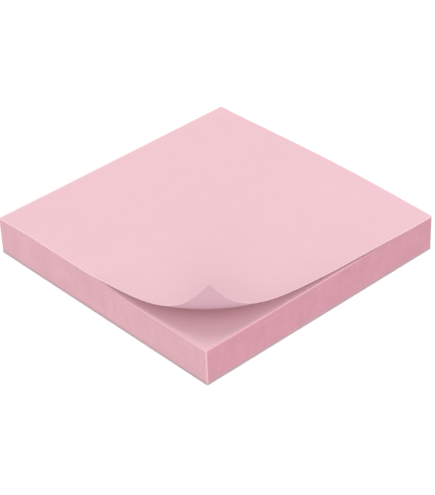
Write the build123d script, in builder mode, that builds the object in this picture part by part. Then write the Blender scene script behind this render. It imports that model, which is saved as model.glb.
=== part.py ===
from build123d import *
from math import atan2, cos, pi, radians, sin, tan
import os

# A square pad of sticky notes, lying flat, with one corner of its top note curling up.
# Millimetres, +Z up. The origin is at the middle of the underside.
# The notes are glued along the +Y edge, and the corner at -X, -Y is the one that curls.

# The pad
pad_width = 76.0          # along X
pad_length = 76.0         # along Y
corner_radius = 0.4       # upright corners, as the cutter leaves them
note_count = 100          # with the top note
note_thickness = 0.0955   # one note and its share of the air between notes
backing_thickness = 0.45  # card under the last note
adhesive_width = 16.0     # glued strip along the +Y edge of each note

# The curled corner of the top note
front_lift_length = 63.0  # how much of the front edge has lifted, from the corner
curl_radius = 7.8         # tightest bend, at the corner
curl_length = 27.5        # distance from the corner at which the tight bend has faded
lift_angle = 8.5          # gentle slope added at the corner, degrees
crown_radius = 21.0       # sideways crown at the corner: both edges lift above the middle
corner_drift = 1.1        # the corner leans this far towards +X, -Y
tip_width = 0.6           # the corner's blunt end

# How finely the curl is made
curl_section_count = 30
bend_step_count = 200

# Worked out from the above
block_thickness = (note_count - 1) * note_thickness
block_top = backing_thickness + block_thickness
side_lift_length = pad_length - adhesive_width
bend_angle = atan2(front_lift_length, side_lift_length)
lift_off = side_lift_length * sin(bend_angle)
inward = Vector(cos(bend_angle), sin(bend_angle), 0)
along_bend_line = Vector(-sin(bend_angle), cos(bend_angle), 0)
corner_point = Vector(-pad_width / 2, -pad_length / 2)
curl_corner = corner_point + Vector(0, 0, block_top)


# Distances below run from the curled corner towards the middle of the pad, square to the
# bend lines, and are measured on the flat note. At lift_off the note comes down flat.


def fade(distance):
    """The share of the crown and of the drift that is left at a distance from the corner."""
    return (1 - distance / lift_off) ** 3


def slope(distance):
    """The note's upward slope in radians: a tight bend that eases out, and a gentle lift."""
    eased = min(distance / curl_length, 1)
    curl = curl_length / curl_radius * ((1 - eased) / 2 - sin(pi * eased) / (2 * pi))
    lift = radians(lift_angle) * (1 - distance / lift_off) ** 2
    return curl + lift


def bent_place(distance):
    """The point of the underside at a distance from the corner, with the note bent up."""
    step = (lift_off - distance) / bend_step_count
    slopes = [slope(distance + (n + 0.5) * step) for n in range(bend_step_count)]
    run = lift_off - sum(step * cos(angle) for angle in slopes)
    height = sum(step * sin(angle) for angle in slopes)
    drift = corner_drift * fade(distance)
    return curl_corner + inward * run + Vector(0, 0, height) - along_bend_line * drift


def section_plane(distance):
    """The plane square to the bent note, with X along the bend line and Y out of its top."""
    angle = slope(distance)
    downhill = inward * cos(angle) - Vector(0, 0, sin(angle))
    return Plane(bent_place(distance), x_dir=along_bend_line, z_dir=downhill)


def section_distance(number):
    """Sections run evenly from the lift-off line to the blunt tip."""
    tip = tip_width / (tan(bend_angle) + 1 / tan(bend_angle))
    return lift_off + (tip - lift_off) * number / curl_section_count


# The card that the pad is built up on
with BuildPart() as backing_sheet:
    with BuildSketch(Plane.XY):
        RectangleRounded(pad_width, pad_length, corner_radius)
    extrude(amount=backing_thickness)

# Every note but the top one: glued and cut together, they make one block
with BuildPart() as note_block:
    with BuildSketch(Plane.XY.offset(backing_thickness)):
        RectangleRounded(pad_width, pad_length, corner_radius)
    extrude(amount=block_thickness)

# The top note: flat on the block up to the lift-off line, then curling up to its corner
with BuildPart() as top_note:
    front_end = corner_point + Vector(front_lift_length, 0)
    side_end = corner_point + Vector(0, side_lift_length)
    with BuildSketch(Plane.XY.offset(block_top)):
        RectangleRounded(pad_width, pad_length, corner_radius)
        with BuildLine():
            Polyline(corner_point, front_end, side_end, close=True)
        make_face(mode=Mode.SUBTRACT)
    extrude(amount=note_thickness)
    for number in range(curl_section_count + 1):
        distance = section_distance(number)
        front = -distance * tan(bend_angle)
        side = distance / tan(bend_angle)
        crown = fade(distance) / crown_radius
        with BuildSketch(section_plane(distance)):
            with BuildLine():
                under = Bezier(
                    (front, crown * front**2 / 2),
                    ((front + side) / 2, crown * front * side / 2),
                    (side, crown * side**2 / 2),
                )
                upper = Bezier(
                    under @ 0 + Vector(0, note_thickness),
                    ((front + side) / 2, crown * front * side / 2 + note_thickness),
                    under @ 1 + Vector(0, note_thickness),
                )
                Line(under @ 0, upper @ 0)
                Line(under @ 1, upper @ 1)
            make_face()
    loft()

backing_sheet.part.label = "backing_sheet"
note_block.part.label = "note_block"
top_note.part.label = "top_note"

os.makedirs("parts", exist_ok=True)
export_step(backing_sheet.part, "parts/backing_sheet.step")
export_step(note_block.part, "parts/note_block.step")
export_step(top_note.part, "parts/top_note.step")
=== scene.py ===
import bpy
import math
import random
from mathutils import Matrix, Vector, noise


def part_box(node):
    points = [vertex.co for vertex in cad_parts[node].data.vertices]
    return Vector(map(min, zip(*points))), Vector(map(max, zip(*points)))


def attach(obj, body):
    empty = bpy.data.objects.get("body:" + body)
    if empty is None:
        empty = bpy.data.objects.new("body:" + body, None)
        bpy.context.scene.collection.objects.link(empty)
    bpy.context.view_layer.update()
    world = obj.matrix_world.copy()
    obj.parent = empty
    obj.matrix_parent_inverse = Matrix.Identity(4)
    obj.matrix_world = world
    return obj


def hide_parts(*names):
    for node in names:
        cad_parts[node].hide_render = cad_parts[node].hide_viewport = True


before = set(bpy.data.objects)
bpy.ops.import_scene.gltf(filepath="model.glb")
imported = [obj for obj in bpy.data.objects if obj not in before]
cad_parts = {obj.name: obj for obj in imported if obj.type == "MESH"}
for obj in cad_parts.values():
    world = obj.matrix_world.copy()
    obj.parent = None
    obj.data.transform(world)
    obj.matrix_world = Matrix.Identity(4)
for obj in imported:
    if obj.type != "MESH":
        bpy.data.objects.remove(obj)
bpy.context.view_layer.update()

# ---------------------------------------------------------------------------
# Sizes, in metres. Places come from the frame's own boxes.
# ---------------------------------------------------------------------------
MM = 0.001

block_low, block_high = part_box("note_block")
half_width = block_high.x                # the pad reaches as far each way along X
half_length = block_high.y
block_top = block_high.z
block_bottom = block_low.z

# The pad
corner_radius = 0.4 * MM
sheet_count = 99
sheet_thickness = (block_top - block_bottom) / sheet_count
note_thickness = 0.0955 * MM

# The curl of the top note
front_lift_length = 63.0 * MM
side_lift_length = 60.0 * MM
curl_radius = 7.8 * MM
curl_length = 27.5 * MM
lift_angle = math.radians(8.5)
crown_radius = 21.0 * MM
corner_drift = 1.1 * MM
bend_angle = math.atan2(front_lift_length, side_lift_length)
lift_off = side_lift_length * math.sin(bend_angle)


# ---------------------------------------------------------------------------
# Small helpers
# ---------------------------------------------------------------------------
def smooth_step(low, high, value):
    """0 below low, 1 above high, and a smooth rise between."""
    t = min(max((value - low) / (high - low), 0.0), 1.0)
    return t * t * (3 - 2 * t)


def make_object(name, vertices, faces, attributes):
    """A smooth-shaded mesh object, with named values at its points."""
    mesh = bpy.data.meshes.new(name)
    mesh.from_pydata(vertices, [], faces)
    for label, values in attributes.items():
        layer = mesh.attributes.new(label, "FLOAT", "POINT")
        layer.data.foreach_set("value", values)
    mesh.polygons.foreach_set("use_smooth", [True] * len(mesh.polygons))
    mesh.update()
    made = bpy.data.objects.new(name, mesh)
    bpy.context.scene.collection.objects.link(made)
    return made


# ---------------------------------------------------------------------------
# Materials
# ---------------------------------------------------------------------------
class Nodes:
    """Builds one material's nodes, left to right."""

    def __init__(self, name):
        self.material = bpy.data.materials.new(name)
        self.material.use_nodes = True
        self.tree = self.material.node_tree
        self.shader = self.tree.nodes["Principled BSDF"]

    def new(self, kind, **settings):
        node = self.tree.nodes.new(kind)
        for key, value in settings.items():
            setattr(node, key, value)
        return node

    def link(self, source, target):
        self.tree.links.new(source, target)

    def noise(self, stretch, scale, detail=3.0, roughness=0.6):
        """Noise in the object's own space, stretched by a scale for each axis."""
        place = self.new("ShaderNodeTexCoord")
        mapping = self.new("ShaderNodeMapping")
        mapping.inputs["Scale"].default_value = stretch
        texture = self.new("ShaderNodeTexNoise")
        texture.inputs["Scale"].default_value = scale
        texture.inputs["Detail"].default_value = detail
        texture.inputs["Roughness"].default_value = roughness
        self.link(place.outputs["Object"], mapping.inputs["Vector"])
        self.link(mapping.outputs["Vector"], texture.inputs["Vector"])
        return texture.outputs["Fac"]

    def ramp(self, factor, *stops):
        """Colours along a factor: (position, colour) pairs."""
        node = self.new("ShaderNodeValToRGB")
        band = node.color_ramp
        band.elements[0].position, band.elements[0].color = stops[0]
        band.elements[1].position, band.elements[1].color = stops[-1]
        for position, colour in stops[1:-1]:
            band.elements.new(position).color = colour
        self.link(factor, node.inputs["Fac"])
        return node.outputs["Color"]

    def blend(self, factor, first, second, mode="MIX"):
        """Two colours, mixed by a factor that is a number or a socket."""
        node = self.new("ShaderNodeMix", data_type="RGBA", blend_type=mode)
        self.fill(node.inputs[0], factor)
        self.fill(node.inputs[6], first)
        self.fill(node.inputs[7], second)
        return node.outputs[2]

    def fill(self, socket, value):
        if isinstance(value, bpy.types.NodeSocket):
            self.link(value, socket)
        else:
            socket.default_value = value

    def attribute(self, name):
        node = self.new("ShaderNodeAttribute", attribute_name=name)
        return node.outputs["Fac"]

    def bump(self, height, strength, distance, under=None):
        node = self.new("ShaderNodeBump")
        node.inputs["Strength"].default_value = strength
        node.inputs["Distance"].default_value = distance
        self.link(height, node.inputs["Height"])
        if under:
            self.link(under, node.inputs["Normal"])
        return node.outputs["Normal"]


def tint(colour, share):
    """A colour made lighter or darker by a share, with full alpha."""
    return tuple(min(c * share, 1.0) for c in colour) + (1.0,)


NOTE_COLOUR = (0.897, 0.586, 0.643)
# Painted highlight: the paler rim of the note's face, which also lines the block's top along its bare
# arris
NOTE_EDGE_COLOUR = (0.94, 0.635, 0.685)
# The note's underside: partly the paper's own duller back and partly painted shade, darker and bluer than
# its face
UNDERSIDE_COLOUR = (0.56, 0.347, 0.406)
SIDE_COLOUR = (0.67, 0.384, 0.434)
# Painted highlight: the paler colour of the cut sides along the bare top arris and on the rounded upright
# corners
SIDE_PALE_COLOUR = (0.80, 0.485, 0.535)
# Painted shade: the cut faces across the pad are a darker, more saturated copy of the paper on the cut
# faces along it
END_COLOUR = (0.59, 0.283, 0.345)
# Painted highlight: the paler colour of the cut faces across the pad, along the bare top arris and on the
# upright corners
END_PALE_COLOUR = (0.80, 0.455, 0.51)
# The backing card: its own grey, made darker by painted shade where the pad meets the floor
BACKING_COLOUR = (0.49, 0.37, 0.40)
FLECK_COLOUR = (0.96, 0.95, 0.955, 1)
WHITE = (1, 1, 1, 1)

UNSTRETCHED = (1, 1, 1)
CLOUD_SCALE = 260.0      # noise scales are per metre
FIBRE_SCALE = 2600.0


def paper(name, colour, edge_colour, cloud):
    """Uncoated paper: cloudy pulp, fine fibres that show as bump, and paler edges that are a painted
    highlight.
    """
    nodes = Nodes(name)
    clouds = nodes.noise(UNSTRETCHED, CLOUD_SCALE, detail=4.0)
    fibres = nodes.noise(UNSTRETCHED, FIBRE_SCALE, roughness=0.7)
    pulp = nodes.ramp(clouds, (0.3, tint(colour, 1 - cloud)), (0.7, tint(colour, 1 + cloud)))
    flecks = nodes.ramp(fibres, (0.3, FLECK_COLOUR), (0.62, WHITE))
    mottled = nodes.blend(1.0, pulp, flecks, "MULTIPLY")
    # Painted highlight: the edge value pales the rim
    edged = nodes.blend(nodes.attribute("edge"), mottled, tint(edge_colour, 1.0))
    nodes.link(edged, nodes.shader.inputs["Base Color"])
    nodes.shader.inputs["Roughness"].default_value = 0.85
    nodes.shader.inputs["Specular IOR Level"].default_value = 0.25
    nodes.link(nodes.bump(fibres, 0.25, 0.03 * MM), nodes.shader.inputs["Normal"])
    return nodes.material


SHEET_STRETCH = (60, 60, 5200)        # long along the side, a streak for each sheet up it
BLOTCH_STRETCH = (170, 170, 150)
DRAG_STRETCH = (800, 800, 130)        # narrow along the side, long up it


def cut_edges(name, colour, pale):
    """The cut side of a stack: a streak for each sheet, soft blotches, upright drag, a grey foot that is
    painted shade, and a painted highlight along the bare top arris and the upright corners.
    """
    nodes = Nodes(name)
    sheets = nodes.noise(SHEET_STRETCH, 1.0, detail=2.0)
    blotches = nodes.noise(BLOTCH_STRETCH, 1.0)
    drag = nodes.noise(DRAG_STRETCH, 1.0)
    dark, light = (0.35, tint(colour, 0.92)), (0.65, tint(colour, 1.08))
    streaks = nodes.ramp(sheets, (0.3, tint(colour, 0.95)), (0.7, tint(colour, 1.04)))
    blotchy = nodes.blend(0.45, streaks, nodes.ramp(blotches, dark, light))
    scuffed = nodes.blend(0.22, blotchy, nodes.ramp(drag, dark, light))
    # Painted shade: the foot of the cut side blends towards the backing's grey
    foot_shaded = nodes.blend(nodes.attribute("foot"), scuffed, tint(BACKING_COLOUR, 1.0))
    # Painted highlight: the cut side turns pale along the bare top arris and on the upright corners
    edged = nodes.blend(nodes.attribute("edge"), foot_shaded, tint(pale, 1.0))
    nodes.link(edged, nodes.shader.inputs["Base Color"])
    nodes.shader.inputs["Roughness"].default_value = 0.9
    nodes.shader.inputs["Specular IOR Level"].default_value = 0.2
    ridges = nodes.bump(sheets, 0.3, 0.02 * MM)
    nodes.link(nodes.bump(drag, 0.15, 0.02 * MM, ridges), nodes.shader.inputs["Normal"])
    return nodes.material


note_paper = paper("note_paper_face", NOTE_COLOUR, NOTE_EDGE_COLOUR, cloud=0.01)
# Underside colour: partly the paper's own, partly painted shade
underside_paper = paper("note_paper_underside", UNDERSIDE_COLOUR, UNDERSIDE_COLOUR, cloud=0.01)
side_paper = cut_edges("note_paper_cut_along", SIDE_COLOUR, SIDE_PALE_COLOUR)
# The faces across the pad take the painted-shade copy of the cut paper
end_paper = cut_edges("note_paper_cut_across_painted_shade", END_COLOUR, END_PALE_COLOUR)
backing_paper = paper("backing_paper", BACKING_COLOUR, BACKING_COLOUR, cloud=0.04)


# ---------------------------------------------------------------------------
# The top note
# ---------------------------------------------------------------------------
def fade(distance):
    """The share of the crown and of the drift left at a distance from the curled corner."""
    return (1 - distance / lift_off) ** 3


def slope(distance):
    """The note's upward slope: a tight bend that eases out, and a gentle lift."""
    eased = min(distance / curl_length, 1)
    curl = curl_length / curl_radius * ((1 - eased) / 2 - math.sin(math.pi * eased) / (2 * math.pi))
    return curl + lift_angle * (1 - distance / lift_off) ** 2


BEND_STEPS = 1200


def bend_table():
    """Run inward and height of the bent note, at even distances from the corner."""
    step = lift_off / BEND_STEPS
    run, height = lift_off, 0.0
    places = [(run, height)]
    for n in range(BEND_STEPS - 1, -1, -1):
        angle = slope((n + 0.5) * step)
        run -= step * math.cos(angle)
        height += step * math.sin(angle)
        places.append((run, height))
    return places[::-1]


bend = bend_table()


def bent(distance):
    """Run inward and height at any distance from the corner."""
    place = distance / lift_off * BEND_STEPS
    n = min(int(place), BEND_STEPS - 1)
    share = place - n
    return tuple(a + (b - a) * share for a, b in zip(bend[n], bend[n + 1]))


inward = Vector((math.cos(bend_angle), math.sin(bend_angle), 0))
along = Vector((-math.sin(bend_angle), math.cos(bend_angle), 0))
corner = Vector((-half_width, -half_length, block_top))
up = Vector((0, 0, 1))

# The free edges of the pad are loose: the block is a little thicker there, except at its +X, -Y corner.
# Places along an edge are measured from the corner that is at -Y or, along the front, at -X.
left_swell = 0.65 * MM
left_swell_start = (24 * MM, 38 * MM)
left_swell_end = (64 * MM, 80 * MM)
left_swell_width = 17.0 * MM
note_swell_width = 1.3 * left_swell_width   # the note bridges the swelling's foot
right_swell = 0.35 * MM
right_swell_width = 26.0 * MM
right_swell_reach = 0.93                    # a share of the edge
right_swell_lean = 0.85                     # below 1 the highest place is nearer the front
corner_dip = 0.38 * MM
corner_dip_width = 36.0 * MM

# The free right-hand edge of the top note stands a little off the block
side_wave_height = 0.30 * MM
side_wave_width = 26.0 * MM

# Past the curl the front edge stands off the block a little further
front_wave_height = 0.50 * MM
front_wave_width = 24.0 * MM
front_wave_start = 36.0 * MM
front_wave_end = 74.5 * MM

# The side edge settles on the block sooner than the curl's own shape would
settle_start = 35.0 * MM
settle_end = 45.0 * MM


def left_swelling(a, b, width):
    """The extra thickness along the -X edge, at a place measured from the curled corner."""
    along_edge = smooth_step(*left_swell_start, b) * (1 - smooth_step(*left_swell_end, b))
    return left_swell * along_edge * (1 - smooth_step(0, width, a))


def right_arch(b):
    """0 at both ends of the +X edge's loose part, and 1 between them."""
    t = min(b / (2 * half_length) / right_swell_reach, 1.0)
    return math.sin(math.pi * t**right_swell_lean)


def right_swelling(a, b):
    """The extra thickness along the +X edge, less the dip at its front corner."""
    inset = 2 * half_width - a
    edge = (1 - smooth_step(0, right_swell_width, inset)) * right_arch(b)
    dip = 1 - smooth_step(0, corner_dip_width, math.hypot(inset, b))
    return right_swell * edge - corner_dip * dip


def block_swelling(x, y):
    """How far the block's top stands above its even height, at a place in the frame."""
    a, b = x + half_width, y + half_length
    return left_swelling(a, b, left_swell_width) + right_swelling(a, b)


def waves(a, b):
    """How far the free edges stand off the block, at a place on the flat note measured from the corner."""
    side_inset = 1 - smooth_step(0, side_wave_width, 2 * half_width - a)
    side = side_wave_height * side_inset * right_arch(b)
    front_inset = 1 - smooth_step(0, front_wave_width, b)
    t = min(max((a - front_wave_start) / (front_wave_end - front_wave_start), 0.0), 1.0)
    front = front_wave_height * front_inset * math.sin(math.pi * t) ** 2
    return side + front


def note_point(a, b):
    """Where a point of the note's underside lies, and the direction out of its upper face."""
    distance = a * inward.x + b * inward.y
    sideways = a * along.x + b * along.y
    settled = smooth_step(settle_start, settle_end, b)
    ground = left_swelling(a, b, note_swell_width) * settled + right_swelling(a, b) + waves(a, b)
    if distance >= lift_off:
        return corner + Vector((a, b, ground)), up
    run, height = bent(distance)
    angle = slope(distance)
    out = inward * math.sin(angle) + up * math.cos(angle)
    crown = (1 - settled) * fade(distance) / crown_radius * sideways**2 / 2
    drift = corner_drift * fade(distance)
    place = corner + inward * run + along * (sideways - drift) + up * (height * (1 - settled) + ground)
    return place + out * crown, out


def rounded_corner(a, b, radius):
    """Pulls a place on the square note in, so that its corners have a small radius."""
    width, length = 2 * half_width, 2 * half_length
    near_a, near_b = min(a, width - a), min(b, length - b)
    if near_a >= radius or near_b >= radius:
        return a, b
    off_a, off_b = radius - near_a, radius - near_b
    reach = max(off_a, off_b) / math.hypot(off_a, off_b)
    near_a, near_b = radius - off_a * reach, radius - off_b * reach
    a = near_a if a < width / 2 else width - near_a
    b = near_b if b < length / 2 else length - near_b
    return a, b


NOTE_STEPS = 150
CORNER_STEPS = 4
CROWDING = 1.35   # above 1 the lines crowd towards the curled corner


def note_lines(side):
    """Grid lines from the curled corner to the far edge: close together at the corner and at the edges."""
    fine = [corner_radius * n / CORNER_STEPS for n in range(CORNER_STEPS)]
    first = corner_radius
    last = side - corner_radius
    spread = [first + (last - first) * (n / NOTE_STEPS) ** CROWDING for n in range(NOTE_STEPS + 1)]
    return fine + spread + [side - f for f in reversed(fine)]


# The note's paler rim is a painted highlight
edge_width = 0.5 * MM   # the paler rim of the note
UNDERSIDE_SLOT = 1      # the note's second material


def top_note():
    """The curled note: a fine sheet with a closed rim."""
    columns, rows = note_lines(2 * half_width), note_lines(2 * half_length)
    under, over, edge = [], [], []
    for b0 in rows:
        for a0 in columns:
            a, b = rounded_corner(a0, b0, corner_radius)
            place, out = note_point(a, b)
            under.append(place)
            over.append(place + out * note_thickness)
            rim = min(a, b, 2 * half_width - a, 2 * half_length - b)
            # Painted highlight along the note's rim
            edge.append(1 - smooth_step(0, edge_width, rim))
    width, height, shift = len(columns), len(rows), len(under)
    faces = []
    for j in range(height - 1):
        for i in range(width - 1):
            n = j * width + i
            faces.append((n, n + width, n + width + 1, n + 1))
    underside_faces = len(faces)
    for j in range(height - 1):
        for i in range(width - 1):
            n = j * width + i + shift
            faces.append((n, n + 1, n + width + 1, n + width))
    border = list(range(width))
    border += [j * width + width - 1 for j in range(1, height)]
    border += [(height - 1) * width + i for i in range(width - 2, -1, -1)]
    border += [j * width for j in range(height - 2, 0, -1)]
    for n, m in zip(border, border[1:] + border[:1]):
        faces.append((n, m, m + shift, n + shift))
    made = make_object("curled_top_note", under + over, faces, {"edge": edge + edge})
    made.data.materials.append(note_paper)
    made.data.materials.append(underside_paper)
    for face in made.data.polygons[:underside_faces]:
        face.material_index = UNDERSIDE_SLOT
    return made


# ---------------------------------------------------------------------------
# The block of notes under it
# ---------------------------------------------------------------------------
SIDE_STEPS = 100
ARC_STEPS = 6
CORNERS = ((1, -1), (1, 1), (-1, 1), (-1, -1))   # of the pad, anticlockwise


def outline():
    """Points round the pad, with the direction out of it at each."""
    inner_x, inner_y = half_width - corner_radius, half_length - corner_radius
    inner = [Vector((x * inner_x, y * inner_y)) for x, y in CORNERS]
    points = []
    for quarter, centre in enumerate(inner):
        for n in range(ARC_STEPS + 1):
            angle = (quarter - 1) * math.pi / 2 + n * math.pi / 2 / ARC_STEPS
            out = Vector((math.cos(angle), math.sin(angle)))
            points.append((centre + out * corner_radius, out))
        start, out = points[-1]
        end = inner[(quarter + 1) % len(inner)] + out * corner_radius
        for n in range(1, SIDE_STEPS):
            points.append((start.lerp(end, n / SIDE_STEPS), out))
    return points


# The cut sides
groove_depth = 0.022 * MM
cut_wander = 0.03 * MM
wander_scale = 45                 # per metre along the side
wander_turn = 0.7                 # from one sheet to the next
sheet_share = 0.35                # of the wander is each sheet's own, and the rest runs along the side
glue_band = (half_length - 16 * MM, half_length - 8 * MM)
glue_hold = 0.6                   # the share of the unevenness that the glue takes away

# The top edge that the curl has left bare, the upright corners and the foot. The bare arris and the
# upright corners are painted a paler highlight, and the foot a painted shade.
bevel = 0.30 * MM
bare_front_end = (44 * MM, 58 * MM)
bare_side_end = (20 * MM, 36 * MM)
arris_height = (0.2 * MM, 0.55 * MM)
upright_share = 0.6
corner_turn = 0.05                # a normal with more of both X and Y than this is on a rounded corner
foot_height = 0.8 * MM
foot_share = 0.55
cap_rings = (0.985, 0.96, 0.92, 0.86, 0.8, 0.72, 0.64, 0.56, 0.48, 0.4)   # shares of the width

CAP_SLOT, SIDE_SLOT, END_SLOT = range(3)   # the stack's materials, in order


def exposed(point):
    """1 where the curl has left the block's top edge bare, 0 where the top note covers it."""
    a, b = point.x + half_width, point.y + half_length
    return (1 - smooth_step(*bare_front_end, a)) * (1 - smooth_step(*bare_side_end, b))


def stack_levels():
    """Height, sheet and whether it is a groove, for each ring of points up the stack."""
    levels = []
    for sheet in range(sheet_count):
        bottom = block_bottom + sheet * sheet_thickness
        levels.append((bottom, sheet, True))
        levels.append((bottom + sheet_thickness / 2, sheet, False))
    levels.append((block_top, sheet_count - 1, True))
    return levels


def cut_push(point, z, sheet, offset, groove):
    """How far outside the even outline the cut side lies, at a point of it."""
    held = 1 - glue_hold * smooth_step(*glue_band, point.y)
    wander = noise.noise(Vector((point.x * wander_scale, point.y * wander_scale, sheet * wander_turn)))
    push = cut_wander * (sheet_share * offset * held + (1 - sheet_share) * wander) - cut_wander
    if groove:
        push -= groove_depth * held
    radius = bevel * exposed(point)
    rise = z - (block_top - radius)
    if radius and rise > 0:
        push -= radius - math.sqrt(max(radius**2 - rise**2, 0.0))
    return push


def cap_faces(vertices, base, count, z, top):
    """Closes the stack's top or bottom with shrinking rings: adds their points and returns the faces."""
    rings = [list(range(base, base + count))]
    for share in cap_rings:
        rings.append(list(range(len(vertices), len(vertices) + count)))
        for x, y, _ in vertices[base:base + count]:
            place = (x * share, y * share)
            vertices.append((*place, z + (block_swelling(*place) if top else 0)))
    middle = len(vertices)
    vertices.append((0, 0, z))
    faces = [(outer[n], outer[n - count + 1], inner[n - count + 1], inner[n])
             for outer, inner in zip(rings, rings[1:]) for n in range(count)]
    faces += [(rings[-1][n], rings[-1][n - count + 1], middle) for n in range(count)]
    return faces if top else [tuple(reversed(face)) for face in faces]


def note_stack():
    """The block: each sheet's edge stands out between two fine grooves, and wanders a little."""
    rim = outline()
    count = len(rim)
    random.seed(7)
    offsets = [random.gauss(0, 1) for _ in range(sheet_count)]
    levels = stack_levels()
    vertices, edge, foot = [], [], []
    for z, sheet, groove in levels:
        # The arris share, with exposed(), places a painted highlight along the bare top edge
        arris = 1 - smooth_step(*arris_height, block_top - z)
        # Painted shade at the foot: strongest at the bottom sheet, gone 0.8 mm up
        foot_shade = foot_share * (1 - smooth_step(0, foot_height, z - block_bottom))
        for point, out in rim:
            place = point + out * cut_push(point, z, sheet, offsets[sheet], groove)
            swelling = block_swelling(place.x, place.y) * (z / block_top) ** 2
            vertices.append((place.x, place.y, z + swelling))
            # A painted highlight on the rounded upright corners
            upright = upright_share if abs(out.x * out.y) > corner_turn else 0
            edge.append(max(arris * exposed(point), upright))
            foot.append(foot_shade)
    faces, materials = [], []
    for base in range(0, (len(levels) - 1) * count, count):
        for n in range(count):
            m = (n + 1) % count
            faces.append((base + n, base + m, base + m + count, base + n + count))
            # Cut faces across the pad get the darker copy, a painted shade
            materials.append(SIDE_SLOT if abs(rim[n][1].x) > abs(rim[n][1].y) else END_SLOT)
    faces += cap_faces(vertices, (len(levels) - 1) * count, count, block_top, True)
    faces += cap_faces(vertices, 0, count, block_bottom, False)
    materials += [CAP_SLOT] * (len(faces) - len(materials))
    caps = [0.0] * (len(vertices) - len(edge))
    made = make_object("note_stack", vertices, faces, {"edge": edge + caps, "foot": foot + caps})
    for material in (note_paper, side_paper, end_paper):
        made.data.materials.append(material)
    made.data.polygons.foreach_set("material_index", materials)
    return made


# ---------------------------------------------------------------------------
# Pieces
# ---------------------------------------------------------------------------
curled_note = top_note()
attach(curled_note, "root")
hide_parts("top_note")

stack = note_stack()
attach(stack, "root")
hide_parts("note_block")

# The backing card's grey holds some painted shade at the pad's base
for material_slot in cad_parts["backing_sheet"].material_slots:
    material_slot.material = backing_paper

# ---------------------------------------------------------------------------
# Floor, light and camera
# ---------------------------------------------------------------------------
FLOOR_HALF = 3.0
FLOOR_GREY = (0.15, 0.15, 0.15, 1)   # takes a faint shadow and throws little pink back
FLOOR_GLOW = 0.90

floor_mesh = bpy.data.meshes.new("floor")
floor_mesh.from_pydata([(x * FLOOR_HALF, y * FLOOR_HALF, 0) for x, y in CORNERS], [], [(0, 1, 2, 3)])
floor = bpy.data.objects.new("floor", floor_mesh)
bpy.context.scene.collection.objects.link(floor)
floor_nodes = Nodes("floor_white")
floor_nodes.shader.inputs["Base Color"].default_value = FLOOR_GREY
floor_nodes.shader.inputs["Roughness"].default_value = 0.9
floor_nodes.shader.inputs["Specular IOR Level"].default_value = 0.0
floor_nodes.shader.inputs["Emission Color"].default_value = WHITE
floor_nodes.shader.inputs["Emission Strength"].default_value = FLOOR_GLOW
floor_mesh.materials.append(floor_nodes.material)


def soft_light(name, place, size, power):
    """A white square softbox aimed at the pad."""
    data = bpy.data.lights.new(name, "AREA")
    data.size = size
    data.energy = power
    light = bpy.data.objects.new(name, data)
    light.location = place
    light.rotation_mode = "QUATERNION"
    light.rotation_quaternion = (-Vector(place)).to_track_quat("-Z", "Y")
    bpy.context.scene.collection.objects.link(light)


soft_light("key_behind", (0.29, 0.36, 1.28), size=0.75, power=5.8)
soft_light("rim_behind", (0.95, 1.05, 0.56), size=0.6, power=2.4)
soft_light("fill_front", (-0.88, -0.93, 0.38), size=0.7, power=7.9)
soft_light("fill_left", (-1.30, 0.05, 0.22), size=0.6, power=1.6)
soft_light("fill_right", (0.98, -0.95, 0.20), size=0.6, power=3.6)

WORLD_LIGHT = 0.54

world = bpy.data.worlds.new("studio")
world.use_nodes = True
background = world.node_tree.nodes["Background"]
background.inputs["Color"].default_value = WHITE
# The backdrop itself is as white as the floor, and gives the pad only part of that light
rays = world.node_tree.nodes.new("ShaderNodeLightPath")
backdrop = world.node_tree.nodes.new("ShaderNodeMath")
backdrop.operation = "MULTIPLY_ADD"
backdrop.inputs[1].default_value = 1 - WORLD_LIGHT
backdrop.inputs[2].default_value = WORLD_LIGHT
world.node_tree.links.new(rays.outputs["Is Camera Ray"], backdrop.inputs[0])
world.node_tree.links.new(backdrop.outputs[0], background.inputs["Strength"])
bpy.context.scene.world = world
bpy.context.scene.view_settings.view_transform = "Standard"

camera_target = Vector((0.60, -0.06, 0.51)) * MM
camera_distance = 462.65 * MM
camera_azimuth = math.radians(-41.8)
camera_elevation = math.radians(34.79)
camera_roll = math.radians(-2.27)

camera_data = bpy.data.cameras.new("camera")
camera_data.lens = 134.3
camera_data.sensor_width = 36.0
camera = bpy.data.objects.new("camera", camera_data)
back = Vector((
    math.sin(camera_azimuth) * math.cos(camera_elevation),
    -math.cos(camera_azimuth) * math.cos(camera_elevation),
    math.sin(camera_elevation),
))
right = up.cross(back).normalized()
level = Matrix((right, back.cross(right), back)).transposed()
camera.matrix_world = (
    Matrix.Translation(camera_target + back * camera_distance)
    @ (level @ Matrix.Rotation(camera_roll, 3, "Z")).to_4x4()
)
bpy.context.scene.collection.objects.link(camera)
bpy.context.scene.camera = camera
